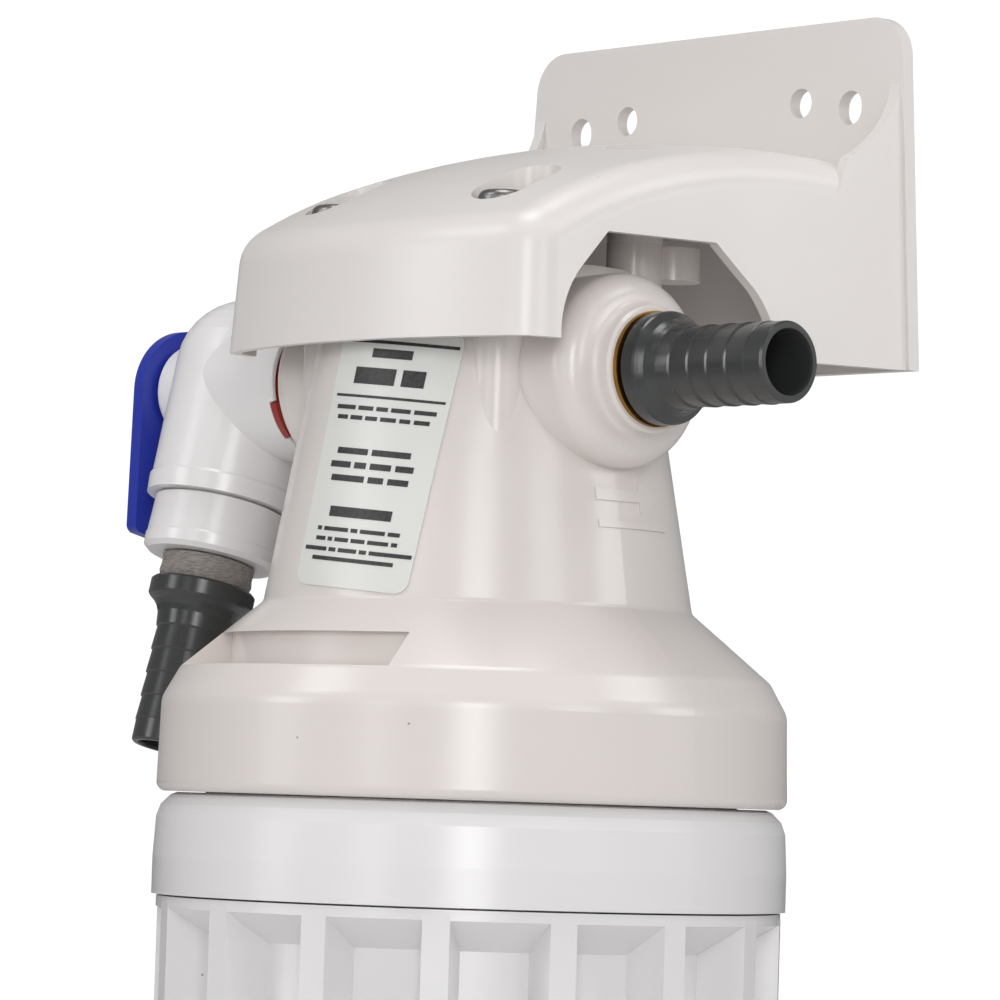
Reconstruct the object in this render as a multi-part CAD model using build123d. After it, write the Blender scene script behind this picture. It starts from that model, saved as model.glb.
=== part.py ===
from build123d import *
import os
from math import cos, radians, sin

# Wall-mounted quick-twist water filter: a moulded head hangs under a hood-shaped wall
# bracket and carries a ribbed cartridge below it, a barbed outlet on its right (+X) and an
# angle ball valve with a barbed inlet on its left (-X).  Front is -Y and the wall is +Y.
#
# Millimetres.  Everything is laid out about the cartridge axis, with z = 0 at the lower edge
# of the head's skirt.  Each piece is moved on export so that the origin lies at the wall
# mount: on the back of the plate, midway between the two round screw holes.

# ---------------------------------------------------------------- driving dimensions
HEAD_R = 59.0              # outer radius of the skirt
SKIRT_TOP_Z = 17.5         # where the skirt rounds over into the shoulder
RIM_R, RIM_Z = 55.2, 23.4  # outer start of the sloping shoulder
NECK_FOOT_R, NECK_FOOT_Z = 41.2, 36.0
NOTCH_R, NOTCH_TOP_Z = 45.8, 29.7  # back wall and roof of the recess in the shoulder
NECK_TOP_R, NECK_TOP_Z = 29.1, 99.0
NECK_WALL = 3.5
CORE_LOW_Z = 46.0          # floor of the space cored out of the neck
INLET_DROP_X = -19.6       # passage that leads the inlet down to the cartridge

PORT_Z = 79.25             # height of the inlet and outlet axis
BOSS_R, BOSS_CREST_X = 17.9, 42.1  # domed boss of each port
BOSS_ROUND = 5.0
SEAT_R, SEAT_END_X = 11.7, 45.5
INSERT_R, INSERT_END_X = 10.6, 46.4
THREAD_R = 8.4             # three-eighths pipe thread, outside
WATER_R = 5.5              # radius of the water passages

COLUMN_X, FRONT_COLUMN_Y, REAR_COLUMN_Y, EAR_Y = 23.2, -18.2, 15.6, 25.8
COLUMN_R, COLUMN_TOP_Z = 5.25, 104.7
EAR_LOW_Z, EAR_WEB = 98.5, 4.6
SCREW_SHANK_R, SCREW_HEAD_R, SCREW_HEAD_H = 2.4, 4.65, 2.9
SCREW_SEAT_Z, SCREW_TIP_Z = 108.5, 86.0
WELL_WALL = 1.8

HOOD_Z = 83.3              # lower edge of the bracket
HOOD_FRONT_Y, HOOD_CORNER_Y = -37.0, -28.6
HOOD_HALF_X, HOOD_MID_X, HOOD_MID_Y = 43.0, 45.8, 18.0
HOOD_DRAW = 4.0            # how far the sides and front lean in up to the plate's top
HOOD_WALL, HOOD_ROOF = 2.2, 2.4
TOP_EDGE_R = 8.0           # rounding of the hood's upper edge
TOP_ARC_R, TOP_CROWN = 127.0, 4.0
TOP_APEX_Y, TOP_APEX_Z = 38.3, 122.4
PLATE_FRONT_Y, PLATE_BACK_Y = 58.2, 61.0
PLATE_TOP_Z = 151.1
PLATE_LOW_HALF_X, PLATE_TOP_HALF_X = 54.3, 50.0
HOLE_Z, HOLE_X, HOLE_R = 136.0, 24.0, 2.9
SLOT_Z, SLOT_X, SLOT_R, SLOT_LENGTH = 134.2, 37.2, 2.95, 6.6

VALVE_X = -69.5            # axis of the valve's branch
VALVE_TILT = 13.3          # the branch leans this far toward the front, degrees
BODY_R, PORT_BARREL_R = 14.8, 14.4
BRANCH_STEP_S = 23.7       # distances "s" run down the branch from the port axis
CAP_R, CAP_END_S = 13.3, 35.0
BALL_R, BALL_BORE_R = 9.0, 4.6
STEM_BOSS_R, STEM_BOSS_X = 9.8, -86.0
HANDLE_IN_X, HANDLE_OUT_X = -86.5, -90.2
HUB_R, LEVER_END_S, LEVER_END_HALF = 12.5, 30.4, 6.4

BARB_COLLAR_R, BARB_R, BARB_NOSE_R, BARB_BORE_R = 10.35, 7.5, 7.35, 5.9
BARB_PITCH, BARB_TEETH, BARB_NOSE = 4.75, 4, 4.4
CLIP_START, CLIP_TAB_END, CLIP_END = -137, -107, 110  # places round the port, degrees
CLIP_LOW_X, CLIP_HIGH_X = 44.4, 46.0
BARREL_END_X = 45.0

SOCKET_R = 53.0            # bore of the skirt
LEDGE_R, LEDGE_LOW_Z, LEDGE_TOP_Z = 50.2, 3.0, 8.0
PLUG_BORE_R, PLUG_BORE_TOP_Z = 33.5, 33.0
NOZZLE_BORE_R, NOZZLE_BORE_TOP_Z = 9.0, 52.0
LUG_ANGLE = 50.0

COLLAR_R, COLLAR_TOP_Z, COLLAR_LOW_Z = 59.2, -0.15, -19.0
SHELL_R, SHELL_FLOOR_R, SHELL_BORE_R = 58.3, 49.5, 46.5
POCKET_TOP_Z, POCKET_SLOPE = -21.3, 5.5
SHELL_END_Z = -342.0
RIB_COUNT, RIB_FACE, RIB_DRAFT, RIB_PHASE = 16, 4.95, 1.2, -3.0

BLOCK_R, BLOCK_BORE_R, SPIGOT_R = 37.5, 11.5, 7.9
BLOCK_TOP_Z, BLOCK_LOW_Z = -22.0, -310.0

WALL_ORIGIN = (0, PLATE_BACK_Y, HOLE_Z)

MIN = (Align.CENTER, Align.CENTER, Align.MIN)


# ---------------------------------------------------------------- helpers
def rod(radius, low, high):
    """A solid cylinder about Z between two heights."""
    return Pos(0, 0, low) * Cylinder(radius, high - low, align=MIN)


def tube(outer, inner, low, high):
    """A plain tube about Z between two heights."""
    return rod(outer, low, high) - rod(inner, low - 1, high + 1)


def turned(*points):
    """A solid turned about Z from (radius, height) points."""
    outline = Polyline(*[(r, 0, z) for r, z in points], close=True)
    return revolve(make_face(outline), Axis.Z)


def rims(shape, radius, height):
    """The round edges of a turned piece at one radius and height."""
    found = []
    for edge in shape.edges().filter_by(GeomType.CIRCLE):
        if abs(edge.radius - radius) < 0.01 and abs(edge.arc_center.Z - height) < 0.01:
            found.append(edge)
    return found


def to_port(shape, side=1):
    """Lay a piece made about Z along the port axis, its height running outward."""
    return Pos(0, 0, PORT_Z) * Rot(0, 90 * side, 0) * shape


def to_stem(shape):
    """Lay a piece made about Z along the stem axis, turned to the tilt of the branch."""
    return Pos(0, 0, PORT_Z) * Rot(-VALVE_TILT, 0, 0) * Rot(0, -90, 0) * shape


def to_branch(shape):
    """Hang a piece made about Z on the valve's branch, its height running down it."""
    return Pos(VALVE_X, 0, PORT_Z) * Rot(-VALVE_TILT, 0, 0) * Rot(180, 0, 0) * shape


def neck_radius(z):
    """Outer radius of the tapered neck at a height."""
    share = (z - NECK_FOOT_Z) / (NECK_TOP_Z - NECK_FOOT_Z)
    foot = NECK_FOOT_R - 1.0
    return foot + share * (NECK_TOP_R - foot)


def corners():
    """The four places of the bracket screws."""
    return [(side * COLUMN_X, y) for y in (FRONT_COLUMN_Y, REAR_COLUMN_Y) for side in (-1, 1)]


# ---------------------------------------------------------------- head
def head_blank():
    """Skirt, shoulder and tapered neck, all round about the cartridge axis."""
    foot = neck_radius(NECK_FOOT_Z)
    blank = turned(
        (0, 0), (HEAD_R, 0), (HEAD_R - 0.5, SKIRT_TOP_Z), (RIM_R, RIM_Z),
        (foot, NECK_FOOT_Z), (NECK_TOP_R, NECK_TOP_Z), (0, NECK_TOP_Z),
    )
    blank = fillet(rims(blank, foot, NECK_FOOT_Z), 1.2)
    blank = fillet(rims(blank, RIM_R, RIM_Z), 3.0)
    blank = fillet(rims(blank, HEAD_R - 0.5, SKIRT_TOP_Z), 5.0)
    return fillet(rims(blank, HEAD_R, 0), 1.8)


def port_boss():
    """One port's boss, made about Z: a domed rim that dips to a raised seat ring."""
    shoulder_x = BOSS_CREST_X - BOSS_ROUND
    crest_r = BOSS_R - BOSS_ROUND
    bend = BOSS_ROUND * cos(radians(45))
    outline = [
        Line((0, 0, 0), (BOSS_R - 0.4, 0, 0)),
        Line((BOSS_R - 0.4, 0, 0), (BOSS_R, 0, shoulder_x)),
        ThreePointArc(
            (BOSS_R, 0, shoulder_x), (crest_r + bend, 0, shoulder_x + bend), (crest_r, 0, BOSS_CREST_X)
        ),
        ThreePointArc(
            (crest_r, 0, BOSS_CREST_X), (SEAT_R + 0.35, 0, BOSS_CREST_X + 0.4),
            (SEAT_R, 0, BOSS_CREST_X + 1.4),
        ),
        Line((SEAT_R, 0, BOSS_CREST_X + 1.4), (SEAT_R, 0, SEAT_END_X - 0.6)),
        Line((SEAT_R, 0, SEAT_END_X - 0.6), (SEAT_R - 0.5, 0, SEAT_END_X)),
        Line((SEAT_R - 0.5, 0, SEAT_END_X), (0, 0, SEAT_END_X)),
        Line((0, 0, SEAT_END_X), (0, 0, 0)),
    ]
    return revolve(make_face(outline), Axis.Z)


def screw_columns():
    """Four columns for the bracket screws, the rear pair with a round ear behind it."""
    shapes = []
    for x, y in corners():
        shapes.append(Pos(x, y, 0) * rod(COLUMN_R, 60, COLUMN_TOP_Z))
        if y > 0:
            shapes.append(Pos(x, EAR_Y, 0) * rod(COLUMN_R, EAR_LOW_Z, COLUMN_TOP_Z))
            web = Box(EAR_WEB, EAR_Y - y, COLUMN_TOP_Z - EAR_LOW_Z)
            shapes.append(Pos(x, (y + EAR_Y) / 2, (COLUMN_TOP_Z + EAR_LOW_Z) / 2) * web)
    return shapes


def neck_cavity():
    """The space cored out of the neck from above, around the tubes and columns that stay."""
    hollow = turned(
        (0, CORE_LOW_Z), (neck_radius(CORE_LOW_Z) - NECK_WALL, CORE_LOW_Z),
        (NECK_TOP_R - NECK_WALL, NECK_TOP_Z), (NECK_TOP_R - NECK_WALL, NECK_TOP_Z + 1),
        (0, NECK_TOP_Z + 1),
    )
    hollow -= rod(13.0, 0, 200)
    hollow -= to_port(rod(13.6, -60, 60))
    for x, y in corners():
        hollow -= Pos(x, y, 0) * rod(COLUMN_R + 0.6, 0, 200)
    return hollow


def shoulder_notch():
    """A shallow recess across the front of the shoulder, its ends splayed."""
    left, right = (-26.5, -37.4), (25.2, -38.2)
    open_left, open_right = (-37.0, -62.0), (34.0, -62.0)
    outline = [
        ThreePointArc(left, (0, -NOTCH_R), right),
        Line(right, open_right),
        Line(open_right, open_left),
        Line(open_left, left),
    ]
    return Pos(0, 0, RIM_Z) * extrude(make_face(outline), NOTCH_TOP_Z - RIM_Z)


def flow_mark():
    """A raised arrow over a raised bar on the neck below the outlet."""
    middle_z, bar_z, half, rise = 56.5, 51.1, 9.6, 0.35
    neck_x, tip_x, head_half = 1.4, 7.6, 3.4
    shaft = Pos((neck_x - half) / 2, middle_z) * Rectangle(neck_x + half, 2.2)
    head = make_face(Polyline(
        (neck_x, middle_z + head_half), (tip_x, middle_z), (neck_x, middle_z - head_half), close=True
    ))
    bar = Pos(0, bar_z) * Rectangle(2 * half, 1.3)
    plan = Plane.XZ * (shaft + head + bar)
    block = extrude(plan, 60)
    skin = turned(
        (30, 40), (neck_radius(40) + rise, 40), (neck_radius(70) + rise, 70), (30, 70),
    )
    return Rot(0, 0, 97) * (block & skin)


def ledges():
    """The two bayonet ledges inside the skirt, with a stop wall at one end of each."""
    ring = tube(SOCKET_R + 1, LEDGE_R, LEDGE_LOW_Z, LEDGE_TOP_Z)
    walls = tube(SOCKET_R + 1, LEDGE_R, LEDGE_LOW_Z, 14.0)
    gap = LUG_ANGLE + 8.0
    out = []
    for turn in (0, 180):
        out.append(ring & sector(gap / 2, 180 - gap / 2, turn))
        out.append(walls & sector(90 + LUG_ANGLE / 2 + 2, 90 + LUG_ANGLE / 2 + 8, turn))
    return out


def sector(start, end, turn):
    """A tall wedge about Z from one angle to another, for cutting rings into arcs."""
    reach = 200
    steps = 6
    points = [(0, 0)]
    for i in range(steps + 1):
        angle = radians(turn + start + (end - start) * i / steps)
        points.append((reach * cos(angle), reach * sin(angle)))
    return Pos(0, 0, -500) * extrude(make_face(Polyline(*points, close=True)), 1000)


def filter_head():
    """The moulded head: skirt with bayonet socket, neck, two ports and four columns."""
    head = head_blank()
    for side in (-1, 1):
        head += to_port(port_boss(), side)
    for column in screw_columns():
        head += column
    head -= neck_cavity()
    head += Pos(INLET_DROP_X, 0, 0) * rod(8.0, CORE_LOW_Z - 1, PORT_Z)
    head -= shoulder_notch()
    head += flow_mark()
    head -= rod(SOCKET_R, -1, 15.0)
    head -= rod(PLUG_BORE_R, 0, PLUG_BORE_TOP_Z)
    head -= turned((0, 30), (31.0, 30), (31.0, 34), (23.0, 39), (0, 39)) - rod(12.5, 0, 60)
    head -= rod(NOZZLE_BORE_R, 0, NOZZLE_BORE_TOP_Z)
    head -= rod(WATER_R, 50, PORT_Z)
    for side in (-1, 1):
        head -= to_port(rod(INSERT_R, 29.0, 60), side)
    head -= to_port(rod(WATER_R, 0, 31), 1)
    head -= to_port(rod(WATER_R, 16, 31), -1)
    head -= Pos(INLET_DROP_X, 0, 0) * rod(4.5, 36, PORT_Z)
    for ledge in ledges():
        head += ledge
    for x, y in corners():
        head -= Pos(x, y, 0) * rod(SCREW_SHANK_R, SCREW_TIP_Z - 2, 120)
    return head


def thread_insert(side):
    """A brass threaded insert moulded into a port, with two locking grooves outside."""
    insert = tube(INSERT_R, THREAD_R, 29.0, INSERT_END_X)
    for low in (32.5, 38.5):
        insert -= tube(INSERT_R + 1, INSERT_R - 0.8, low, low + 2.0)
    return to_port(insert, side)


# ---------------------------------------------------------------- bracket
def hood_outline(rear_half_x, draw, inset=0.0):
    """Plan of the hood: bowed front, rounded corners, sides that flare to the plate."""
    half, mid, rear = HOOD_HALF_X - draw, HOOD_MID_X - draw / 2, rear_half_x
    front_y, corner_y = HOOD_FRONT_Y + draw, HOOD_CORNER_Y + draw
    bend = ((mid + rear) / 2 - 1.1, (HOOD_MID_Y + PLATE_BACK_Y) / 2)
    edges = [
        ThreePointArc((-half, corner_y), (0, front_y), (half, corner_y)),
        Line((half, corner_y), (mid, HOOD_MID_Y)),
        ThreePointArc((mid, HOOD_MID_Y), bend, (rear, PLATE_BACK_Y)),
        Line((rear, PLATE_BACK_Y), (-rear, PLATE_BACK_Y)),
        ThreePointArc((-rear, PLATE_BACK_Y), (-bend[0], bend[1]), (-mid, HOOD_MID_Y)),
        Line((-mid, HOOD_MID_Y), (-half, corner_y)),
    ]
    face = make_face(edges)
    front_corners = face.vertices().sort_by(Axis.Y)[:2]
    face = fillet(front_corners, 9.0)
    if inset:
        face = offset(face, -inset, kind=Kind.INTERSECTION)
    return face


def hood_block(inset=0.0):
    """The hood's outline carried up to the plate's top, drawn in all round on the way."""
    top_z = PLATE_TOP_Z + 5
    low = Pos(0, 0, HOOD_Z) * hood_outline(PLATE_LOW_HALF_X, 0.0, inset)
    high = Pos(0, 0, top_z) * hood_outline(PLATE_TOP_HALF_X - 0.3, HOOD_DRAW, inset)
    return loft([low, high], ruled=True)


def crowned_top(drop=0.0):
    """Everything under the hood's top: an arc from front to back, crowned across."""
    radius = TOP_ARC_R - drop
    half = 70.0
    crown = TOP_CROWN * (half / HOOD_HALF_X) ** 2
    peak = radius + TOP_CROWN
    outline = [
        Line((-half, 0), (-half, peak - crown)),
        ThreePointArc((-half, peak - crown), (0, peak), (half, peak - crown)),
        Line((half, peak - crown), (half, 0)),
        Line((half, 0), (-half, 0)),
    ]
    face = Pos(0, TOP_APEX_Y, TOP_APEX_Z - TOP_ARC_R) * Rot(90, 0, 0) * make_face(outline)
    axis = Axis((0, TOP_APEX_Y, TOP_APEX_Z - TOP_ARC_R), (1, 0, 0))
    return revolve(face, axis)


def hood_shell():
    """The hood: a bowl-shaped cover, open below and closed behind by the plate."""
    outer = hood_block() & crowned_top()
    top = outer.faces().sort_by(Axis.Z)[-1]
    soft = [e for e in top.edges() if e.center().Y < PLATE_FRONT_Y - 3]
    outer = fillet(soft, TOP_EDGE_R)
    inner = hood_block(HOOD_WALL) & crowned_top(HOOD_ROOF)
    inner &= Pos(0, PLATE_FRONT_Y - 100, 100) * Box(200, 200, 200)
    top = inner.faces().sort_by(Axis.Z)[-1]
    soft = [e for e in top.edges() if e.center().Y < PLATE_FRONT_Y - 3]
    inner = fillet(soft, TOP_EDGE_R - HOOD_WALL)
    inner = inner + Pos(0, 0, -3) * (inner & Pos(0, 0, HOOD_Z) * Box(300, 300, 10))
    return outer - inner


def wall_plate():
    """The flat plate that is screwed to the wall, with rounded upper corners."""
    outline = Polyline(
        (-PLATE_LOW_HALF_X, HOOD_Z), (PLATE_LOW_HALF_X, HOOD_Z),
        (PLATE_TOP_HALF_X, PLATE_TOP_Z), (-PLATE_TOP_HALF_X, PLATE_TOP_Z), close=True,
    )
    face = make_face(outline)
    upper = face.vertices().sort_by(Axis.Y)[-2:]
    face = fillet(upper, 8.0)
    plate = extrude(Plane.XZ * face, -(PLATE_BACK_Y - PLATE_FRONT_Y))
    plate = Pos(0, PLATE_FRONT_Y, 0) * plate
    for side in (-1, 1):
        relief = Box(18, 3.2, 12)
        plate -= Pos(side * 42.5, (PLATE_FRONT_Y + PLATE_BACK_Y) / 2, HOOD_Z) * relief
    return plate


def gussets():
    """Side walls that sweep up from the hood to the plate in a hollow curve."""
    arc_y, arc_z, arc_r = 36.5, 142.6, 22.2
    start = (arc_y + arc_r * cos(radians(63)), arc_z - arc_r * sin(radians(63)))
    middle = (arc_y + arc_r * cos(radians(40)), arc_z - arc_r * sin(radians(40)))
    end = (arc_y + arc_r * cos(radians(10)), arc_z - arc_r * sin(radians(10)))
    region = [
        Line((40.0, 106.0), (PLATE_BACK_Y, 106.0)),
        Line((PLATE_BACK_Y, 106.0), (PLATE_BACK_Y, end[1])),
        Line((PLATE_BACK_Y, end[1]), end),
        ThreePointArc(end, middle, start),
        Line(start, (40.0, 106.0)),
    ]
    slab = extrude(Plane.YZ * make_face(region), 70, both=True)
    walls = hood_block() - Pos(0, 0, -2) * hood_block(HOOD_WALL)
    sides = walls & slab
    return sides - Pos(0, 80, 125) * Box(85, 60, 80)


def screw_bosses():
    """Posts under the hood that sit on the head's columns, each under a walled well."""
    roof = crowned_top(HOOD_ROOF / 2)
    posts = []
    for x, y in corners():
        post = rod(COLUMN_R, COLUMN_TOP_Z, SCREW_SEAT_Z)
        post += screw_well(SCREW_SEAT_Z - WELL_WALL, WELL_WALL)
        posts.append((Pos(x, y, 0) * post) & roof)
    return posts


def screw_well(floor_z, grow=0.0):
    """The oval well over one bracket screw, longer toward the wall."""
    plan = Pos(0, 3.1) * SlotCenterToCenter(6.2, 11.7 + 2 * grow, rotation=90)
    return Pos(0, 0, floor_z) * extrude(plan, 40)


def side_arch():
    """The opening in both side walls around the ports: flat top, cut corners, bowed feet."""
    outline = [
        Line((-22.0, HOOD_Z - 5), (-21.6, HOOD_Z)),
        ThreePointArc((-21.6, HOOD_Z), (-20.4, 90.5), (-17.0, 96.3)),
        Line((-17.0, 96.3), (-10.4, 103.6)),
        Line((-10.4, 103.6), (15.4, 103.8)),
        Line((15.4, 103.8), (24.6, 96.0)),
        ThreePointArc((24.6, 96.0), (28.6, 90.0), (30.2, HOOD_Z)),
        Line((30.2, HOOD_Z), (30.6, HOOD_Z - 5)),
        Line((30.6, HOOD_Z - 5), (-22.0, HOOD_Z - 5)),
    ]
    return extrude(Plane.YZ * make_face(outline), 80, both=True)


def wall_bracket():
    """The hood, the wall plate and the gussets between them, moulded as one."""
    bracket = hood_shell()
    for post in screw_bosses():
        bracket += post
    bracket += wall_plate()
    bracket += gussets()
    for x, y in corners():
        bracket -= Pos(x, y, 0) * screw_well(SCREW_SEAT_Z)
        bracket -= Pos(x, y, 0) * rod(SCREW_SHANK_R + 0.3, 90, 140)
    middle = Pos(0, 0, 90) * Box(76, 300, 200)
    bracket -= side_arch() - middle
    drill = Rot(90, 0, 0) * Cylinder(HOLE_R, 20)
    slot = Rot(90, 0, 0) * extrude(SlotOverall(SLOT_LENGTH, 2 * SLOT_R, rotation=90), 10, both=True)
    for side in (-1, 1):
        bracket -= Pos(side * HOLE_X, PLATE_BACK_Y, HOLE_Z) * drill
        bracket -= Pos(side * SLOT_X, PLATE_BACK_Y, SLOT_Z) * slot
    return bracket


def bracket_screw():
    """A pan-head screw with a cross recess."""
    head = fillet(rims(rod(SCREW_HEAD_R, SCREW_SEAT_Z, SCREW_SEAT_Z + SCREW_HEAD_H),
                       SCREW_HEAD_R, SCREW_SEAT_Z + SCREW_HEAD_H), 1.6)
    screw = head + rod(SCREW_SHANK_R, SCREW_TIP_Z, SCREW_SEAT_Z + 0.5)
    top = SCREW_SEAT_Z + SCREW_HEAD_H
    for turn in (20, 110):
        screw -= Pos(0, 0, top - 0.9) * Rot(0, 0, turn) * Box(5.2, 1.1, 1.9)
    return screw


def bracket_screws():
    """The four screws that hold the head in the bracket."""
    return Compound(children=[Pos(x, y, 0) * bracket_screw() for x, y in corners()])


def rating_label():
    """A thin printed plate wrapped on the front of the neck."""
    low, high = 37.6, 86.0
    foot, crest = low - 2, high + 2
    skin = turned(
        (neck_radius(foot) + 0.03, foot), (neck_radius(foot) + 0.28, foot),
        (neck_radius(crest) + 0.28, crest), (neck_radius(crest) + 0.03, crest),
    )
    plan = RectangleRounded(26.3, high - low, 2.6)
    block = extrude(Plane.XZ * plan, 60)
    block = Pos(0, 0, (low + high) / 2) * Rot(0, 5.0, 0) * block
    return skin & (Rot(0, 0, 12.8) * block)


# ---------------------------------------------------------------- hose fittings
def hose_barb(start, collar_low):
    """A barbed hose fitting about Z: threaded shank, round collar, waist and teeth."""
    collar_high = collar_low + 3.6
    waist_end = collar_low + 9.3
    points = [
        (BARB_BORE_R - 0.3, start), (THREAD_R - 0.1, start), (THREAD_R - 0.1, collar_low),
        (BARB_COLLAR_R - 0.5, collar_low), (BARB_COLLAR_R, collar_low + 0.5),
        (BARB_COLLAR_R, collar_high - 0.4), (BARB_COLLAR_R - 0.25, collar_high),
        (9.55, collar_high + 0.45), (8.85, collar_high + 1.05), (8.25, collar_high + 1.9),
        (7.8, collar_high + 3.0), (BARB_R, waist_end),
    ]
    z = waist_end
    for _ in range(BARB_TEETH):
        points.append((BARB_R - 0.3, z + 0.3))
        z += BARB_PITCH
        points.append((BARB_R, z))
    tip = z + BARB_NOSE
    points += [(BARB_NOSE_R, z + 0.2), (BARB_NOSE_R, tip - 0.4), (BARB_NOSE_R - 0.35, tip)]
    points += [(BARB_BORE_R + 0.15, tip), (BARB_BORE_R, tip - 0.5), (BARB_BORE_R - 0.3, tip - 18)]
    return turned(*points)


def outlet_barb():
    """The grey hose barb screwed into the outlet."""
    return to_port(hose_barb(31.5, INSERT_END_X + 0.4))


def inlet_barb():
    """The same barb screwed up into the valve's retaining cap."""
    return to_branch(hose_barb(24.0, CAP_END_S + 5.2))


def thread_tape():
    """Sealing tape wound on the inlet barb's thread, showing below the cap."""
    return to_branch(turned(
        (THREAD_R - 0.08, CAP_END_S + 0.3), (THREAD_R + 0.75, CAP_END_S + 0.3),
        (THREAD_R + 0.6, CAP_END_S + 2.2), (THREAD_R + 0.8, CAP_END_S + 3.6),
        (THREAD_R + 0.35, CAP_END_S + 5.1), (THREAD_R - 0.08, CAP_END_S + 5.1),
    ))


# ---------------------------------------------------------------- inlet valve
def inlet_valve_body():
    """The white angle body: branch with a domed top, port barrel and stem boss."""
    dome_points = [(BODY_R * cos(radians(a)), -4.0 - 14.2 * sin(radians(a))) for a in range(0, 90, 10)]
    branch = turned(
        (0, BRANCH_STEP_S), (BODY_R + 0.1, BRANCH_STEP_S), (BODY_R + 0.3, BRANCH_STEP_S - 3.4),
        (BODY_R - 0.1, BRANCH_STEP_S - 4.0), *dome_points, (0, -18.2),
    )
    body = to_branch(branch)
    port = rod(PORT_BARREL_R, BARREL_END_X, -VALVE_X)
    port = fillet(rims(port, PORT_BARREL_R, BARREL_END_X), 0.5)
    port -= rod(PORT_BARREL_R - 0.95, 0, CLIP_HIGH_X + 0.2)
    port -= rod(SEAT_R, 0, INSERT_END_X + 0.5)
    notch = tube(PORT_BARREL_R + 1, INSERT_R, BARREL_END_X - 1, CLIP_HIGH_X + 0.1)
    port -= notch & sector(CLIP_START - 1.5, CLIP_TAB_END + 1.5, 0)
    body += to_port(port, -1)
    boss = rod(STEM_BOSS_R, -VALVE_X, -STEM_BOSS_X)
    boss = fillet(rims(boss, STEM_BOSS_R, -STEM_BOSS_X), 1.2)
    body += to_port(boss, -1)
    body -= Pos(VALVE_X, 0, PORT_Z) * Sphere(BALL_R + 0.15)
    body -= to_branch(rod(11.6, 5.0, 40))
    body -= to_port(rod(6.65, -VALVE_X - 12.1, -VALVE_X - 6), -1)
    body -= to_port(rod(WATER_R, -VALVE_X - 17, -VALVE_X - 6), -1)
    body -= to_port(rod(THREAD_R, 0, -VALVE_X - 13), -1)
    body -= to_port(rod(3.05, -VALVE_X, 100), -1)
    body -= to_port(rod(5.05, -VALVE_X + 11.4, 100), -1)
    return body


def valve_retaining_cap():
    """The collar screwed into the branch; it holds the ball's lower seat and the barb."""
    cap = turned(
        (THREAD_R, 24.2), (CAP_R - 0.3, 24.2), (CAP_R - 0.1, CAP_END_S - 3.4),
        (CAP_R + 0.1, CAP_END_S - 3.0), (CAP_R, CAP_END_S - 0.9), (CAP_R - 1.0, CAP_END_S),
        (THREAD_R, CAP_END_S),
    )
    cap += tube(11.5, THREAD_R, 14.0, 24.4)
    cap += tube(11.5, WATER_R, 10.2, 14.0)
    return to_branch(cap)


def valve_ball():
    """The ball: water enters from the branch and leaves along the port axis."""
    ball = Sphere(BALL_R)
    ball = Pos(VALVE_X, 0, PORT_Z) * ball
    ball -= to_branch(rod(BALL_BORE_R, 0, 12))
    ball -= to_port(rod(BALL_BORE_R, -VALVE_X - 12, -VALVE_X), -1)
    return ball - to_stem(Pos(0, 0, -VALVE_X + BALL_R) * Box(20, 2.6, 5.0))


def seat(low, high, bore, outer):
    """A soft seat ring about Z, its inner face hollowed to the ball."""
    return tube(outer, bore, low, high) - Sphere(BALL_R + 0.08)


def branch_seat():
    """The seat between the ball and the retaining cap."""
    return to_branch(seat(6.9, 10.1, BALL_BORE_R + 0.6, 11.4))


def port_seat():
    """The seat between the ball and the port toward the head."""
    ring = seat(6.4, 12.0, BALL_BORE_R + 0.6, 6.6)
    return Pos(VALVE_X, 0, PORT_Z) * Rot(0, 90, 0) * ring


def valve_stem():
    """The stem that turns the ball: tongue, collar under the O-ring, square end."""
    tongue_low, shaft_low, shaft_high = -VALVE_X + 6.6, -VALVE_X + 9.2, -HANDLE_IN_X - 0.4
    stem = rod(3.0, shaft_low, shaft_high)
    stem += Pos(0, 0, tongue_low) * Box(5.4, 2.4, 4.0, align=MIN)
    stem += Pos(0, 0, shaft_high - 1) * Box(4.2, 4.2, -HANDLE_OUT_X - shaft_high + 0.6, align=MIN)
    return to_stem(stem - rod(1.25, -HANDLE_IN_X - 6, 100))


def stem_o_ring():
    """The seal in the counterbore round the stem."""
    ring = Torus(4.02, 0.98)
    return to_port(Pos(0, 0, -VALVE_X + 13.0) * ring, -1)


def stem_gland():
    """The bush that closes the counterbore over the stem's O-ring."""
    return to_port(tube(5.0, 3.06, -VALVE_X + 14.3, -STEM_BOSS_X), -1)


def valve_handle():
    """The lever: a round hub running straight-sided into a square-ended grip."""
    thick = HANDLE_IN_X - HANDLE_OUT_X
    reach = LEVER_END_S
    flare = (HUB_R - LEVER_END_HALF) / reach
    touch_b = HUB_R * cos(flare)
    touch_a = HUB_R * sin(flare)
    grip = make_face(Polyline(
        (-touch_b, touch_a), (-LEVER_END_HALF, reach), (LEVER_END_HALF, reach), (touch_b, touch_a),
        close=True,
    ))
    ends = grip.vertices().sort_by(Axis.Y)[-2:]
    grip = fillet(ends, 1.8)
    plan = grip + Circle(HUB_R)
    plate = extrude(plan, thick)
    top_edges = plate.faces().sort_by(Axis.Z)[-1].edges()
    plate = chamfer(top_edges, 0.8)
    rib = Pos(0, reach / 2 + 3, thick) * Box(3.0, reach - 12, 2.4)
    plate += rib
    plate -= Box(4.4, 4.4, 60)
    hung = to_branch(Rot(90, 0, 0) * Rot(0, -90, 0) * plate)
    return Pos(HANDLE_IN_X - VALVE_X, 0, 0) * hung


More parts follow.
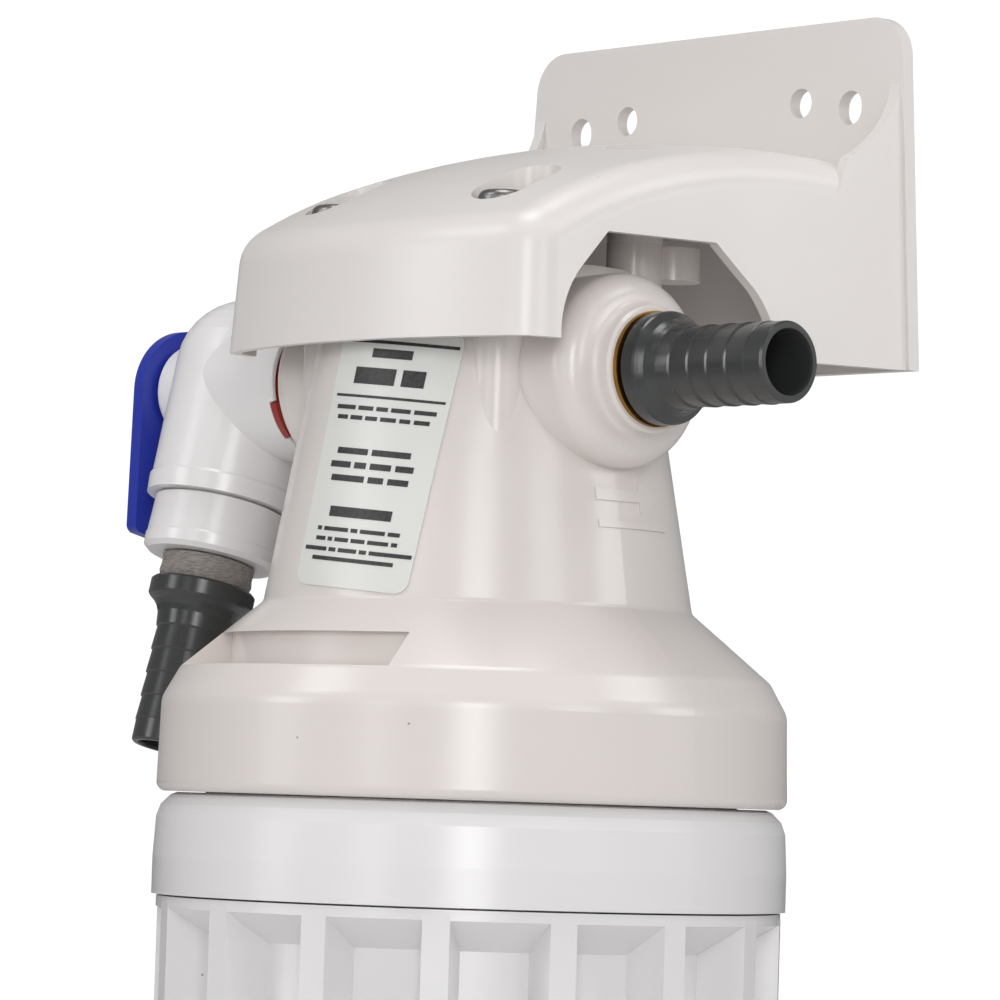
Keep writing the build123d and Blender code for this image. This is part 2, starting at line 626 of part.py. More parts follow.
def handle_screw():
    """The small screw that holds the lever on the stem."""
    end = -HANDLE_OUT_X
    head = fillet(rims(rod(3.6, end + 0.05, end + 2.1), 3.6, end + 2.1), 1.0)
    screw = head + rod(1.2, -HANDLE_IN_X - 5, end + 0.5)
    for turn in (0, 90):
        screw -= Pos(0, 0, end + 1.9) * Rot(0, 0, turn) * Box(3.8, 0.8, 1.4)
    return to_port(screw, -1)


def inlet_nipple():
    """The threaded nipple between the head's inlet and the valve."""
    return to_port(tube(THREAD_R - 0.05, WATER_R, 31.0, -VALVE_X - 13.2), -1)


def lock_ring():
    """The red C-shaped clip between the inlet boss and the valve, with its finger tab."""
    inner = SEAT_R + 0.4
    clip = tube(PORT_BARREL_R - 1.3, inner, CLIP_LOW_X, CLIP_HIGH_X) & sector(CLIP_START, CLIP_END, 0)
    tab = tube(PORT_BARREL_R - 0.05, inner, CLIP_LOW_X, CLIP_HIGH_X)
    clip += tab & sector(CLIP_START, CLIP_TAB_END, 0)
    return to_port(clip, -1)


# ---------------------------------------------------------------- cartridge
def cartridge_cap():
    """The upper closure: collar, neck with two bayonet lugs, sealing plug and nozzle."""
    plug = PLUG_BORE_R - 0.4
    groove = PLUG_BORE_R - 3.1
    hollow = PLUG_BORE_R - 6.0
    cap = turned(
        (50.2, COLLAR_LOW_Z), (COLLAR_R, COLLAR_LOW_Z), (COLLAR_R, -12),
        (COLLAR_R - 0.4, -4.6), (COLLAR_R - 1.2, -2.4), (COLLAR_R - 3.0, -0.6), (COLLAR_R - 4.2, COLLAR_TOP_Z),
        (49.7, COLLAR_TOP_Z), (49.7, 13.0), (plug, 13.0), (plug, 15.6),
        (groove, 15.6), (groove, 19.0), (plug, 19.0), (plug, 21.6), (groove, 21.6), (groove, 25.0),
        (plug, 25.0), (plug, 29.0), (plug - 1.0, 30.4), (8.7, 30.4), (8.7, 37.2), (6.9, 37.2), (6.9, 39.2),
        (8.7, 39.2), (8.7, 45.6), (7.7, 47.0), (0, 47.0),
        (0, 26.4), (hollow, 26.4), (hollow, 9.0), (45.0, 9.0), (45.0, -6.0), (50.2, -6.0),
    )
    lugs = tube(SOCKET_R - 0.4, 49.0, LEDGE_TOP_Z + 0.35, 13.0)
    for turn in (90, 270):
        cap += lugs & sector(-LUG_ANGLE / 2, LUG_ANGLE / 2, turn)
    cap += tube(13.0, 8.05, 6.0, 27.0)
    cap -= rod(5.0, 20, 60)
    for i in range(8):
        cap -= Rot(0, 0, 45 * i + 22.5) * Pos(20.0, 0, 0) * rod(2.6, 20, 40)
    return cap


def rib(length_low, length_high):
    """One long rib of the shell, narrower at its face than at its root."""
    root_r, half = SHELL_FLOOR_R - 1.5, RIB_FACE / 2
    root_half = half + RIB_DRAFT
    plan = make_face(Polyline(
        (root_r, -root_half), (SHELL_R, -half), (SHELL_R, half), (root_r, root_half), close=True
    ))
    return Pos(0, 0, length_low) * extrude(plan, length_high - length_low)


def cartridge_shell():
    """The ribbed outer shell: sixteen ribs between two bands, with a closed base."""
    low_band_z = SHELL_END_Z + 6.0
    rest_z = BLOCK_LOW_Z - 5.1
    shell = turned(
        (0, SHELL_END_Z), (SHELL_R - 4.0, SHELL_END_Z), (SHELL_R - 1.0, SHELL_END_Z + 1.6),
        (SHELL_R, low_band_z - 2.3), (SHELL_R, low_band_z), (SHELL_FLOOR_R, low_band_z + POCKET_SLOPE),
        (SHELL_FLOOR_R, POCKET_TOP_Z - POCKET_SLOPE), (SHELL_R, POCKET_TOP_Z),
        (SHELL_R, COLLAR_LOW_Z - 0.35), (50.0, COLLAR_LOW_Z - 0.35), (50.0, -6.4),
        (SHELL_BORE_R, -6.4), (SHELL_BORE_R, SHELL_END_Z + 12.0),
        (SHELL_BORE_R - 6.0, SHELL_END_Z + 5.0), (0, SHELL_END_Z + 5.0),
    )
    for i in range(RIB_COUNT):
        turn = -90 + RIB_PHASE + i * 360 / RIB_COUNT
        shell += Rot(0, 0, turn) * rib(low_band_z - 1, POCKET_TOP_Z + 1)
    shell -= tube(40.0, 12.0, SHELL_END_Z - 1, SHELL_END_Z + 2.0)
    for i in range(4):
        stop = Box(20, 3, rest_z - SHELL_END_Z - 4, align=MIN)
        shell += Rot(0, 0, 90 * i) * Pos(24, 0, SHELL_END_Z + 4) * stop
    return shell


def o_ring(radius, section, z):
    """An O-ring about the cartridge axis, given by its outside radius."""
    return Pos(0, 0, z) * Torus(radius - section, section)


def block_top_cap():
    """The block's upper end cap, with a spigot that plugs into the closure."""
    cap = turned(
        (WATER_R, BLOCK_TOP_Z), (BLOCK_R + 2.6, BLOCK_TOP_Z), (BLOCK_R + 2.6, BLOCK_TOP_Z + 5),
        (BLOCK_R + 1.4, BLOCK_TOP_Z + 6), (12.5, BLOCK_TOP_Z + 6), (SPIGOT_R, BLOCK_TOP_Z + 10),
        (SPIGOT_R, 14.5), (SPIGOT_R - 1.0, 16.0), (WATER_R, 16.0),
    )
    cap -= tube(SPIGOT_R + 1, SPIGOT_R - 1.0, 8.3, 10.6)
    return cap


def block_bottom_cap():
    """The closed lower end cap, resting on the shell's four ribs."""
    low = BLOCK_LOW_Z - 5
    return turned(
        (0, low - 6), (8.0, low - 6), (8.0, low), (BLOCK_R + 2.6, low), (BLOCK_R + 2.6, BLOCK_LOW_Z - 0.1),
        (9.5, BLOCK_LOW_Z - 0.1), (9.5, BLOCK_LOW_Z + 6), (0, BLOCK_LOW_Z + 6),
    )


def core_tube():
    """The slotted tube inside the block that gathers the filtered water."""
    core = tube(BLOCK_BORE_R - 0.1, BLOCK_BORE_R - 1.8, BLOCK_LOW_Z + 0.1, BLOCK_TOP_Z - 0.1)
    for level in range(6):
        for turn in (0, 90):
            z = BLOCK_LOW_Z + 34 + level * 44
            core -= Pos(0, 0, z) * Rot(0, 0, turn) * Box(60, 3.0, 26)
    return core


# ---------------------------------------------------------------- every node
NODES = {
    "filter_head": filter_head,
    "wall_bracket": wall_bracket,
    "bracket_screws": bracket_screws,
    "rating_label": rating_label,
    "outlet_thread_insert": lambda: thread_insert(1),
    "inlet_thread_insert": lambda: thread_insert(-1),
    "outlet_barb": outlet_barb,
    "inlet_barb": inlet_barb,
    "thread_tape": thread_tape,
    "inlet_nipple": inlet_nipple,
    "lock_ring": lock_ring,
    "inlet_valve_body": inlet_valve_body,
    "valve_retaining_cap": valve_retaining_cap,
    "branch_seat": branch_seat,
    "port_seat": port_seat,
    "valve_ball": valve_ball,
    "valve_stem": valve_stem,
    "stem_o_ring": stem_o_ring,
    "stem_gland": stem_gland,
    "valve_handle": valve_handle,
    "handle_screw": handle_screw,
    "cartridge_cap": cartridge_cap,
    "cartridge_shell": cartridge_shell,
    "plug_o_ring_lower": lambda: o_ring(PLUG_BORE_R - 0.03, 1.5, 17.3),
    "plug_o_ring_upper": lambda: o_ring(PLUG_BORE_R - 0.03, 1.5, 23.3),
    "nozzle_o_ring": lambda: o_ring(NOZZLE_BORE_R - 0.03, 0.95, 38.2),
    "spigot_o_ring": lambda: o_ring(8.04, 0.55, 9.45),
    "block_top_cap": block_top_cap,
    "block_bottom_cap": block_bottom_cap,
    "carbon_block": lambda: tube(BLOCK_R, BLOCK_BORE_R, BLOCK_LOW_Z, BLOCK_TOP_Z - 0.1),
    "prefilter_wrap": lambda: tube(BLOCK_R + 2.4, BLOCK_R + 0.1, BLOCK_LOW_Z + 1, BLOCK_TOP_Z - 1),
    "core_tube": core_tube,
}

os.makedirs("parts", exist_ok=True)
for name, make in NODES.items():
    piece = Pos(*[-c for c in WALL_ORIGIN]) * make()
    piece.label = name
    export_step(piece, f"parts/{name}.step")
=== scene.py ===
import bpy
import math
from mathutils import Matrix, Vector


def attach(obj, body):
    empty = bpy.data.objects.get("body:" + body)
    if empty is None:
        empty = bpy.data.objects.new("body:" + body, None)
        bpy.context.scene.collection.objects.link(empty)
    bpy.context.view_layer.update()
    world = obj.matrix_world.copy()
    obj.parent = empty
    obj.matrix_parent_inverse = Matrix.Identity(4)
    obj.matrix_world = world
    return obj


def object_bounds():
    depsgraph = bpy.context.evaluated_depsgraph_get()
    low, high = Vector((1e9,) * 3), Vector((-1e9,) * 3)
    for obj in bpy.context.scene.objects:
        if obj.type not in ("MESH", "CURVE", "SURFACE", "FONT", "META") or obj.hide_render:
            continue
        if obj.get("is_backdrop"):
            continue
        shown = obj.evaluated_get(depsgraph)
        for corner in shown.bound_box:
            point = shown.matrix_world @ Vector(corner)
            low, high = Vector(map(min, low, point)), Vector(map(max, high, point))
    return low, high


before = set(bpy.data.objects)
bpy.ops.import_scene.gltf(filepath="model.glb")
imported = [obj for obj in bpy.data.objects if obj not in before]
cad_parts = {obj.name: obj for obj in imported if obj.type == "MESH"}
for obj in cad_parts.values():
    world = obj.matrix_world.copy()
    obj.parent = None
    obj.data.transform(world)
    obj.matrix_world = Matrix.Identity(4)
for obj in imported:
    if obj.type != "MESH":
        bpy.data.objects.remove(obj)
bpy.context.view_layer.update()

MM = 0.001
# The layout the parts were drawn in: its origin, seen from the origin at the wall mount.
LAYOUT = Vector((0, -61.0, -136.0))


def at(x, y, z):
    """A layout point in millimetres as a point in the row frame, in metres."""
    return (Vector((x, y, z)) + LAYOUT) * MM


# ---------------------------------------------------------------- materials
# Noise scales of moulded plastic, in cycles per metre, from the broadest to the finest.
WAVE_SCALE, MOTTLE_SCALE, POLISH_SCALE, CLOUD_SCALE, GRAIN_SCALE = 14, 16.0, 60, 420, 2600
SPECK_SCALE, SPECK_SIZE = 260, 0.06


def srgb(*values):
    """Linear colour from 0-255 display values."""
    out = []
    for v in values:
        v = v / 255
        out.append(v / 12.92 if v <= 0.04045 else ((v + 0.055) / 1.055) ** 2.4)
    return out


class Nodes:
    """Short calls for building one material's node tree."""

    def __init__(self, name):
        self.mat = bpy.data.materials.new(name)
        self.mat.use_nodes = True
        self.tree = self.mat.node_tree
        self.shader = self.tree.nodes["Principled BSDF"]
        self.coords = self.tree.nodes.new("ShaderNodeTexCoord").outputs["Object"]

    def put(self, socket, value):
        if hasattr(value, "is_output"):
            self.tree.links.new(value, socket)
        elif isinstance(value, (list, tuple)) and len(value) == 3 and socket.type == "RGBA":
            socket.default_value = (*value, 1)
        else:
            socket.default_value = value

    def add(self, kind, inputs=None, **settings):
        node = self.tree.nodes.new(kind)
        for key, value in settings.items():
            setattr(node, key, value)
        for key, value in (inputs or {}).items():
            self.put(node.inputs[key], value)
        return node

    def noise(self, scale, detail=3.0, rough=0.55, vector=None):
        node = self.add("ShaderNodeTexNoise", {"Scale": scale, "Detail": detail, "Roughness": rough})
        self.tree.links.new(vector or self.coords, node.inputs["Vector"])
        return node.outputs["Fac"]

    def stretched(self, scale):
        node = self.add("ShaderNodeMapping", {"Scale": scale})
        self.tree.links.new(self.coords, node.inputs["Vector"])
        return node.outputs["Vector"]

    def speck(self, scale, size, keep):
        """1 in small scattered spots: one spot in some cells of a fine grid."""
        cells = self.add("ShaderNodeTexVoronoi", {"Scale": scale, "Randomness": 1.0})
        self.tree.links.new(self.coords, cells.inputs["Vector"])
        spot = self.math("LESS_THAN", cells.outputs["Distance"], size)
        parts = self.add("ShaderNodeSeparateColor", {"Color": cells.outputs["Color"]})
        chosen = self.math("GREATER_THAN", parts.outputs["Red"], 1 - keep)
        return self.math("MULTIPLY", spot, chosen)

    def math(self, operation, a, b=0.0, clamp=False):
        node = self.add("ShaderNodeMath", operation=operation, use_clamp=clamp)
        self.put(node.inputs[0], a)
        self.put(node.inputs[1], b)
        return node.outputs[0]

    def ramp(self, value, low, high, out_low=0.0, out_high=1.0):
        node = self.add("ShaderNodeMapRange", {
            "Value": value, "From Min": low, "From Max": high, "To Min": out_low, "To Max": out_high})
        return node.outputs["Result"]

    def mix(self, factor, a, b):
        node = self.add("ShaderNodeMix", data_type="RGBA")
        self.put(node.inputs["Factor"], factor)
        self.put(node.inputs["A"], a)
        self.put(node.inputs["B"], b)
        return node.outputs["Result"]

    def bump(self, height, strength, distance, under=None):
        node = self.add("ShaderNodeBump", {"Height": height, "Strength": strength, "Distance": distance})
        if under is not None:
            self.tree.links.new(under, node.inputs["Normal"])
        return node.outputs["Normal"]


def plastic(name, color, dark=None, rough=(0.2, 0.265), grain_depth=0.012, wave=0.15, specks=0.0):
    """Moulded plastic: faint mottling, a fine skin texture, soft waviness and odd dark specks."""
    n = Nodes(name)
    dark = dark or [c * 0.9 for c in color]
    tone = n.ramp(n.noise(MOTTLE_SCALE, 3.0), 0.15, 0.85)
    cloudy = n.ramp(n.noise(CLOUD_SCALE, 2.0), 0.1, 0.9, 0.0, 0.3)
    base = n.mix(cloudy, n.mix(tone, dark, color), [c * 0.97 for c in color])
    if specks:
        base = n.mix(n.speck(SPECK_SCALE, SPECK_SIZE, specks), base, [c * 0.42 for c in color])
    n.put(n.shader.inputs["Base Color"], base)
    n.put(n.shader.inputs["Roughness"], n.ramp(n.noise(POLISH_SCALE, 1.5), 0.1, 0.9, rough[0], rough[1]))
    skin = n.bump(n.noise(GRAIN_SCALE, 2.0), grain_depth, 0.0004)
    n.put(n.shader.inputs["Normal"], n.bump(n.noise(WAVE_SCALE, 1.0), wave, 0.0010, skin))
    return n.mat


def rubber(name, color):
    """Soft black rubber with a dull, slightly dusty skin."""
    n = Nodes(name)
    dust = n.ramp(n.noise(160, 4.0), 0.35, 0.75)
    n.put(n.shader.inputs["Base Color"], n.mix(dust, color, [c * 2.2 for c in color]))
    n.put(n.shader.inputs["Roughness"], n.ramp(n.noise(300), 0.3, 0.7, 0.5, 0.68))
    n.put(n.shader.inputs["Normal"], n.bump(n.noise(1800, 3.0), 0.12, 0.0003))
    return n.mat


def metal(name, color):
    """Bright metal: fine streaks and dull patches."""
    n = Nodes(name)
    tone = n.ramp(n.noise(240, 4.0), 0.3, 0.72)
    n.put(n.shader.inputs["Base Color"], n.mix(tone, [c * 0.72 for c in color], color))
    n.put(n.shader.inputs["Metallic"], 1.0)
    n.put(n.shader.inputs["Roughness"], n.ramp(n.noise(500, 3.0), 0.3, 0.7, 0.28, 0.42))
    streaks = n.noise(900, 2.0, vector=n.stretched((8.0, 1.0, 1.0)))
    n.put(n.shader.inputs["Normal"], n.bump(streaks, 0.12, 0.0002))
    return n.mat


def tape_material():
    """Thin grey sealing tape: a wound, crinkled film with pale frayed threads."""
    n = Nodes("tape_film")
    wound = n.noise(700, 5.0, 0.7, n.stretched((1.0, 1.0, 5.0)))
    base = n.mix(n.ramp(wound, 0.32, 0.68), srgb(112, 106, 101), srgb(172, 165, 160))
    n.put(n.shader.inputs["Base Color"], base)
    n.put(n.shader.inputs["Roughness"], n.ramp(n.noise(400), 0.3, 0.7, 0.42, 0.66))
    n.put(n.shader.inputs["Normal"], n.bump(wound, 0.7, 0.0006))
    return n.mat


def carbon_material():
    """Pressed carbon: black grains with small pores."""
    n = Nodes("carbon_grain")
    grain = n.noise(1500, 5.0, 0.7)
    tone = n.ramp(grain, 0.35, 0.7)
    n.put(n.shader.inputs["Base Color"], n.mix(tone, srgb(16, 16, 17), srgb(52, 52, 54)))
    n.put(n.shader.inputs["Roughness"], n.ramp(grain, 0.3, 0.7, 0.7, 0.92))
    n.put(n.shader.inputs["Normal"], n.bump(grain, 0.6, 0.0005))
    return n.mat


def felt_material():
    """White melt-blown wrap: short tangled fibres."""
    n = Nodes("wrap_felt")
    fibres = n.noise(2400, 6.0, 0.75, n.stretched((1.0, 1.0, 0.35)))
    tone = n.ramp(fibres, 0.35, 0.7)
    n.put(n.shader.inputs["Base Color"], n.mix(tone, srgb(206, 204, 199), srgb(238, 237, 233)))
    n.put(n.shader.inputs["Roughness"], n.ramp(fibres, 0.3, 0.7, 0.8, 0.95))
    n.shader.inputs["Sheen Weight"].default_value = 0.25
    n.put(n.shader.inputs["Normal"], n.bump(fibres, 0.5, 0.0004))
    return n.mat


def ink_material():
    """Black print: nearly even, slightly worn."""
    n = Nodes("label_ink")
    worn = n.noise(1600, 4.0, 0.7)
    tone = n.ramp(worn, 0.35, 0.72)
    n.put(n.shader.inputs["Base Color"], n.mix(tone, srgb(30, 30, 31), srgb(66, 65, 65)))
    n.put(n.shader.inputs["Roughness"], n.ramp(worn, 0.3, 0.7, 0.35, 0.55))
    return n.mat


CREAM = srgb(219, 212, 209)
CREAM_DARK = srgb(216, 209, 205)
WARM_WHITE = srgb(222, 217, 214)
COOL_WHITE = srgb(226, 224, 225)
VALVE_WHITE = srgb(226, 224, 224)

# One material for each node here; the nodes in SHARED take another node's material.
MATERIALS = {
    "filter_head": plastic("head_plastic", CREAM, CREAM_DARK, specks=0.012),
    "wall_bracket": plastic(
        "bracket_plastic", WARM_WHITE, srgb(218, 213, 210), rough=(0.28, 0.36), specks=0.012),
    "bracket_screws": metal("screw_zinc", srgb(150, 148, 146)),
    "rating_label": plastic(
        "label_film", srgb(219, 220, 216), srgb(214, 215, 210),
        rough=(0.3, 0.4), grain_depth=0.01, wave=0.05),
    "outlet_thread_insert": metal("insert_brass", srgb(168, 128, 62)),
    "outlet_barb": plastic(
        "barb_nylon", srgb(57, 58, 58), srgb(52, 53, 53), grain_depth=0.03, specks=0.004),
    "thread_tape": tape_material(),
    "inlet_nipple": plastic("nipple_plastic", srgb(214, 213, 210)),
    "lock_ring": plastic("ring_red", srgb(150, 40, 34), rough=(0.3, 0.42)),
    "inlet_valve_body": plastic("valve_plastic", VALVE_WHITE, srgb(222, 220, 220), specks=0.004),
    "branch_seat": plastic("seat_plastic", srgb(232, 231, 226), rough=(0.35, 0.5)),
    "valve_ball": plastic("ball_plastic", srgb(228, 228, 226), rough=(0.12, 0.2)),
    "stem_o_ring": rubber("seal_rubber", srgb(24, 24, 25)),
    "valve_handle": plastic("lever_blue", srgb(31, 50, 163), srgb(29, 46, 152), rough=(0.28, 0.36)),
    "cartridge_shell": plastic(
        "cartridge_plastic", COOL_WHITE, srgb(223, 221, 222), rough=(0.19, 0.25), specks=0.02),
    "block_top_cap": plastic("block_cap_plastic", srgb(228, 227, 224), rough=(0.35, 0.48)),
    "carbon_block": carbon_material(),
    "prefilter_wrap": felt_material(),
}
SHARED = {
    "handle_screw": "bracket_screws",
    "inlet_thread_insert": "outlet_thread_insert",
    "inlet_barb": "outlet_barb",
    "valve_retaining_cap": "inlet_valve_body",
    "valve_stem": "inlet_valve_body",
    "stem_gland": "inlet_valve_body",
    "port_seat": "branch_seat",
    "cartridge_cap": "cartridge_shell",
    "plug_o_ring_lower": "stem_o_ring",
    "plug_o_ring_upper": "stem_o_ring",
    "nozzle_o_ring": "stem_o_ring",
    "spigot_o_ring": "stem_o_ring",
    "block_bottom_cap": "block_top_cap",
    "core_tube": "block_top_cap",
}
for node, source in SHARED.items():
    MATERIALS[node] = MATERIALS[source]

for node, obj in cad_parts.items():
    obj.data.materials.clear()
    obj.data.materials.append(MATERIALS[node])

# ---------------------------------------------------------------- label print
LABEL_AZIMUTH = math.radians(12.8)     # how far round the neck the label sits
LABEL_LEAN = math.radians(5.0)         # how far its upright leans
LABEL_MIDDLE_Z = 61.8
LABEL_THICKNESS = 0.28
INK_THICKNESS = 0.05
BAR_STEP = 0.8                         # longest straight stretch of a bar on the curved neck
NECK_FOOT_Z, NECK_FOOT_R = 36.0, 40.2
NECK_TOP_Z, NECK_TOP_R = 99.0, 29.1

# Each row of print: middle height, bar height, middle across, gap, and the bars' widths.
PRINT_ROWS = (
    (21.3, 0.6, 0.15, 0.0, (24.9,)),
    (19.2, 1.7, 0.0, 0.0, (8.9,)),
    (14.9, 3.1, 0.0, 1.4, (9.6, 4.6)),
    (11.05, 0.5, 0.3, 0.0, (24.2,)),
    (8.9, 0.8, 0.2, 0.7, (5.0, 3.6, 2.6, 4.0, 4.2)),
    (7.05, 0.8, 0.1, 0.7, (2.8, 3.0, 2.8, 3.4, 2.2, 3.0)),
    (0.85, 1.15, 0.0, 0.9, (7.6, 8.2)),
    (-1.7, 1.15, 0.0, 0.9, (5.2, 2.8, 4.6, 3.6)),
    (-4.2, 1.15, 0.2, 0.9, (8.2, 3.4, 4.2)),
    (-10.4, 1.9, 0.0, 0.0, (14.4,)),
    (-13.65, 0.75, 0.0, 0.6, (1.2, 6.2, 1.6, 5.4, 2.4)),
    (-15.5, 0.75, 0.0, 0.6, (2.6, 1.2, 3.4, 3.2, 4.4, 1.2)),
    (-17.4, 0.75, 0.3, 0.6, (6.0, 1.8, 4.4, 1.6, 8.6)),
    (-19.1, 0.75, 0.0, 0.0, (19.0,)),
)


def neck_radius(z):
    """Outer radius of the tapered neck, in layout millimetres."""
    return NECK_FOOT_R + (z - NECK_FOOT_Z) / (NECK_TOP_Z - NECK_FOOT_Z) * (NECK_TOP_R - NECK_FOOT_R)


def on_label(u, w):
    """The point of the print that is u to the right of and w above the label's middle."""
    side = u * math.cos(LABEL_LEAN) + w * math.sin(LABEL_LEAN)
    z = LABEL_MIDDLE_Z + w * math.cos(LABEL_LEAN) - u * math.sin(LABEL_LEAN)
    radius = neck_radius(z) + LABEL_THICKNESS + INK_THICKNESS
    front = -math.sqrt(radius * radius - side * side)
    across, along = math.cos(LABEL_AZIMUTH), math.sin(LABEL_AZIMUTH)
    return at(side * across - front * along, side * along + front * across, z)


def add_bar(verts, faces, left, right, low, high):
    """Add one printed bar, bent to the neck, to lists of points and faces."""
    columns = max(2, int((right - left) / BAR_STEP) + 1)
    start = len(verts)
    for i in range(columns + 1):
        u = left + (right - left) * i / columns
        verts += [on_label(u, low), on_label(u, high)]
    for i in range(columns):
        a = start + 2 * i
        faces.append((a, a + 2, a + 3, a + 1))


def label_print():
    """The label's print: rules and rows of plain bars."""
    verts, faces = [], []
    for middle_w, height, middle_u, gap, widths in PRINT_ROWS:
        left = middle_u - (sum(widths) + gap * (len(widths) - 1)) / 2
        for width in widths:
            add_bar(verts, faces, left, left + width, middle_w - height / 2, middle_w + height / 2)
            left += width + gap
    mesh = bpy.data.meshes.new("label_print")
    mesh.from_pydata([tuple(v) for v in verts], [], faces)
    mesh.materials.append(ink_material())
    piece = bpy.data.objects.new("label_print", mesh)
    bpy.context.scene.collection.objects.link(piece)
    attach(piece, "mount_assembly")


label_print()


# ---------------------------------------------------------------- stage
SKY_LEVEL = 0.25           # brightness of the surroundings above the horizon
BACKDROP_LEVEL = 1.05      # brightness of the white that the camera sees behind the object
HORIZON_BLUR = 0.02
FLOOR_GLOW = 0.4           # keeps the far floor pale in the views from above
FLOOR_SIZE, FLOOR_STEPS, FLOOR_DROP = 14.0, 8, 0.12
AIM_Z = 40                 # layout height that the lights point at, in millimetres
BOX_SIZE, OVERHEAD_SIZE = 0.35, 0.5
BOX_REACH, BOX_BASE = 1.25, -0.096
LOW, MIDDLE, HIGH = 0.087, 0.384, 0.838
# Azimuth in degrees, rise in radians and power in watts of each soft box.
SOFT_BOXES = (
    (-25, LOW, 0.6), (-25, MIDDLE, 1.8), (-25, HIGH, 1.7),
    (12, LOW, 0.35), (12, MIDDLE, 0.5),
    (47.5, LOW, 1.9), (47.5, MIDDLE, 2.5),
    (85, MIDDLE, 1.5), (85, HIGH, 0.55),
    (125, MIDDLE, 1.6), (125, HIGH, 1.5),
)
# The camera: its place in layout millimetres, then its turns in radians.
CAMERA_PLACE = (732.7, -672.3, 0.0)
CAMERA_AZIMUTH, CAMERA_PITCH, CAMERA_ROLL = 0.8248, 0.0567, 0.0318
LENS, SENSOR = 191.0, 36.0


def floor():
    """A large pale floor below the cartridge."""
    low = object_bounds()[0].z - FLOOR_DROP
    ticks = [(i / FLOOR_STEPS - 0.5) * FLOOR_SIZE for i in range(FLOOR_STEPS + 1)]
    verts = [(x, y, low) for y in ticks for x in ticks]
    row = FLOOR_STEPS + 1
    corners = [j * row + i for j in range(FLOOR_STEPS) for i in range(FLOOR_STEPS)]
    faces = [(a, a + 1, a + row + 1, a + row) for a in corners]
    mesh = bpy.data.meshes.new("floor")
    mesh.from_pydata(verts, [], faces)
    obj = bpy.data.objects.new("floor", mesh)
    bpy.context.scene.collection.objects.link(obj)
    n = Nodes("floor_paper")
    rays = n.add("ShaderNodeLightPath")
    glow = n.math("MULTIPLY", rays.outputs["Is Camera Ray"], FLOOR_GLOW)
    n.put(n.shader.inputs["Base Color"], n.mix(n.noise(3.0), [0.93, 0.93, 0.93], [0.95, 0.95, 0.95]))
    n.put(n.shader.inputs["Roughness"], 0.9)
    n.put(n.shader.inputs["Emission Color"], [1.0, 1.0, 1.0])
    n.put(n.shader.inputs["Emission Strength"], glow)
    mesh.materials.append(n.mat)
    obj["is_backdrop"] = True


def area_light(name, place, width, height, power):
    """A rectangular soft light aimed at the head."""
    data = bpy.data.lights.new(name, "AREA")
    data.shape = "RECTANGLE"
    data.size, data.size_y = width, height
    data.energy = power
    obj = bpy.data.objects.new(name, data)
    bpy.context.scene.collection.objects.link(obj)
    obj.location = place
    obj.rotation_mode = "QUATERNION"
    obj.rotation_quaternion = (at(0, 0, AIM_Z) - place).to_track_quat("-Z", "Y")


def around(azimuth, distance, height):
    """A point round the cartridge axis; azimuth 0 is in front, 90 to the right."""
    a = math.radians(azimuth)
    return at(0, 0, 0) + Vector((math.sin(a) * distance, -math.cos(a) * distance, height))


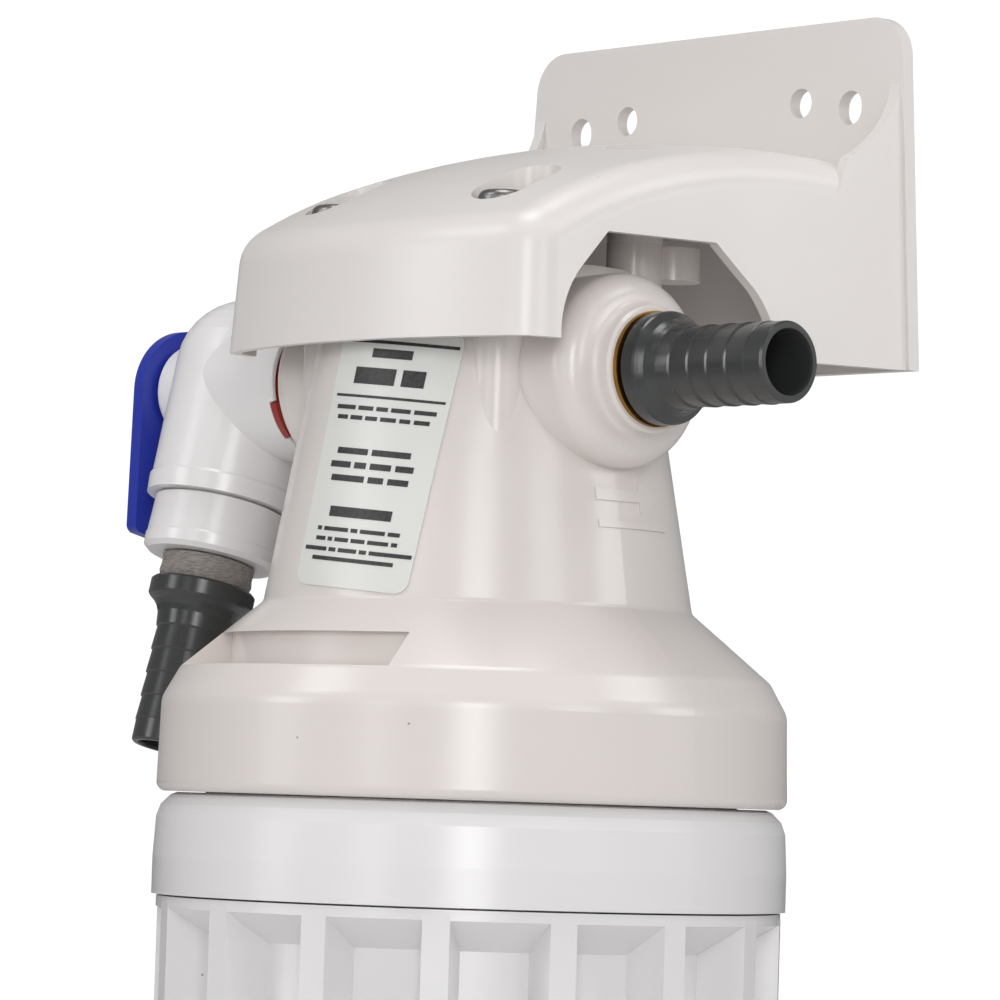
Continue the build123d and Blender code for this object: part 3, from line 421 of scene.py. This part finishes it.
def sky():
    """Surroundings that light the object from above the horizon; the camera sees plain white."""
    world = bpy.data.worlds.new("studio")
    world.use_nodes = True
    tree = world.node_tree
    background = tree.nodes["Background"]
    background.inputs["Color"].default_value = (1.0, 1.0, 1.0, 1)
    coords = tree.nodes.new("ShaderNodeTexCoord")
    split = tree.nodes.new("ShaderNodeSeparateXYZ")
    upper = tree.nodes.new("ShaderNodeMapRange")
    upper.inputs["From Min"].default_value = -HORIZON_BLUR
    upper.inputs["From Max"].default_value = HORIZON_BLUR
    upper.inputs["To Min"].default_value = 0.0
    upper.inputs["To Max"].default_value = SKY_LEVEL
    rays = tree.nodes.new("ShaderNodeLightPath")
    level = tree.nodes.new("ShaderNodeMapRange")
    level.inputs["To Max"].default_value = BACKDROP_LEVEL
    tree.links.new(coords.outputs["Generated"], split.inputs["Vector"])
    tree.links.new(split.outputs["Z"], upper.inputs["Value"])
    tree.links.new(upper.outputs["Result"], level.inputs["To Min"])
    tree.links.new(rays.outputs["Is Camera Ray"], level.inputs["Value"])
    tree.links.new(level.outputs["Result"], background.inputs["Strength"])
    bpy.context.scene.world = world


def studio():
    """Soft boxes round the object and overhead, with two narrow strips for the gloss lines."""
    for azimuth, rise, power in SOFT_BOXES:
        place = around(azimuth, BOX_REACH * math.cos(rise), BOX_REACH * math.sin(rise) + BOX_BASE)
        area_light("soft_%d_%d" % (azimuth, round(100 * rise)), place, BOX_SIZE, BOX_SIZE, power)
    area_light("overhead", around(47, 0.1, 1.2), OVERHEAD_SIZE, OVERHEAD_SIZE, 4.4)
    area_light("strip_front", around(47.5, 1.3, 0.25), 0.045, 0.5, 0.6)
    area_light("strip_left", around(13.5, 1.3, 0.2), 0.035, 0.6, 0.3)


def camera():
    """The view the object is shown in: a long lens, looking slightly upward."""
    level = Vector((-math.sin(CAMERA_AZIMUTH), math.cos(CAMERA_AZIMUTH), 0))
    forward = level * math.cos(CAMERA_PITCH) + Vector((0, 0, math.sin(CAMERA_PITCH)))
    right = Vector((math.cos(CAMERA_AZIMUTH), math.sin(CAMERA_AZIMUTH), 0))
    up = right.cross(forward)
    x = right * math.cos(CAMERA_ROLL) + up * math.sin(CAMERA_ROLL)
    y = up * math.cos(CAMERA_ROLL) - right * math.sin(CAMERA_ROLL)
    data = bpy.data.cameras.new("camera")
    data.sensor_width = SENSOR
    data.lens = LENS
    obj = bpy.data.objects.new("camera", data)
    bpy.context.scene.collection.objects.link(obj)
    turn = Matrix((x, y, -forward)).transposed().to_4x4()
    obj.matrix_world = Matrix.Translation(at(*CAMERA_PLACE)) @ turn
    bpy.context.scene.camera = obj


floor()
sky()
studio()
camera()
bpy.context.scene.view_settings.view_transform = "Standard"
